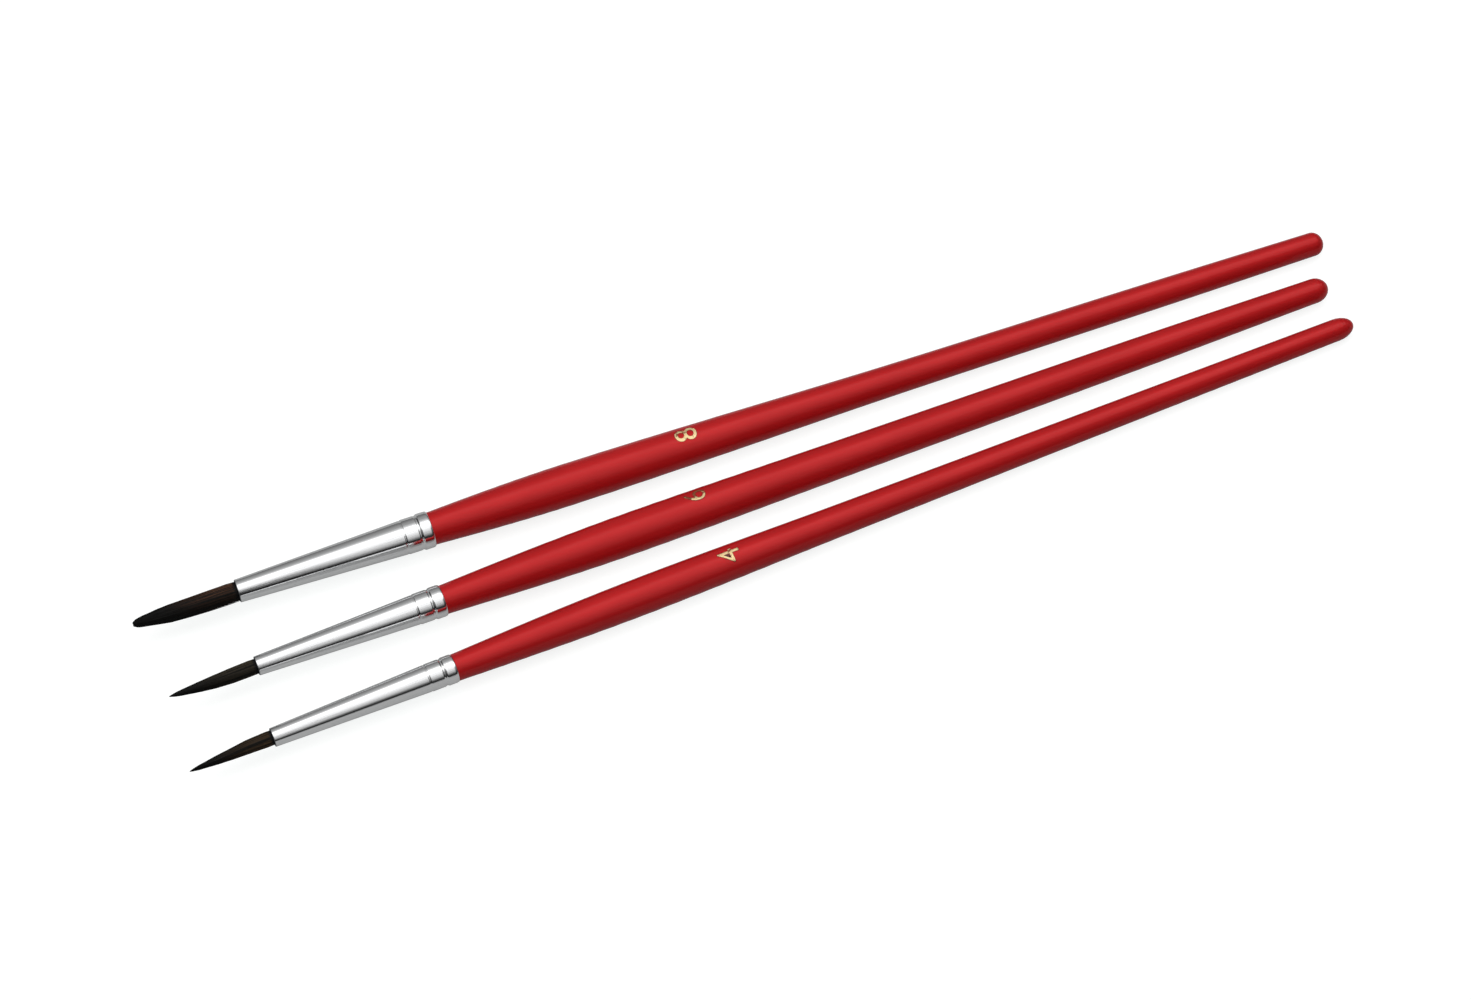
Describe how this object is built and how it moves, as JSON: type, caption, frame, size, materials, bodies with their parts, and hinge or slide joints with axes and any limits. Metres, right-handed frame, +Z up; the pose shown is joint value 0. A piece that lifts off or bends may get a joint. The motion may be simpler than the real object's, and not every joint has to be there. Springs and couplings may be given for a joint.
{
  "type": "round detail brush set",
  "caption": "Round hair detail brushes lying side by side: pointed dark tuft in a tapered rolled metal ferrule on a slim turned, red-lacquered wooden handle.",
  "frame": {"origin": "on the table, under the middle of the set's bounding box", "axes": "+Z up; +X along the middle brush, from its hair towards its butt; +Y across the set towards the largest brush"},
  "size_m": [0.195, 0.0292, 0.0065],
  "materials": {
    "red_lacquer": "turned hardwood under glossy red lacquer",
    "ferrule_metal": "bright drawn and polished",
    "dark_hair": "fine natural hair, dark brown to black, soft sheen",
    "thread": "twisted cotton thread",
    "glue": "hard amber brush resin",
    "gold_foil": "hot-stamped pale gold foil"
  },
  "bodies": {
    "brush_8": {"handle_8": "red_lacquer", "ferrule_8": "ferrule_metal", "hair_tuft_8": "dark_hair", "thread_tie_8": "thread", "glue_plug_8": "glue"},
    "brush_6": {"handle_6": "red_lacquer", "ferrule_6": "ferrule_metal", "hair_tuft_6": "dark_hair", "thread_tie_6": "thread", "glue_plug_6": "glue"},
    "brush_4": {"handle_4": "red_lacquer", "ferrule_4": "ferrule_metal", "hair_tuft_4": "dark_hair", "thread_tie_4": "thread", "glue_plug_4": "glue"}
  },
  "joints": [
    {"name": "lift_6", "type": "slide", "parent": "brush_8", "child": "brush_6", "axis": [0, 0, 1], "range_m": [0, 0.04]},
    {"name": "lift_4", "type": "slide", "parent": "brush_8", "child": "brush_4", "axis": [0, 0, 1], "range_m": [0, 0.04]}
  ]
}
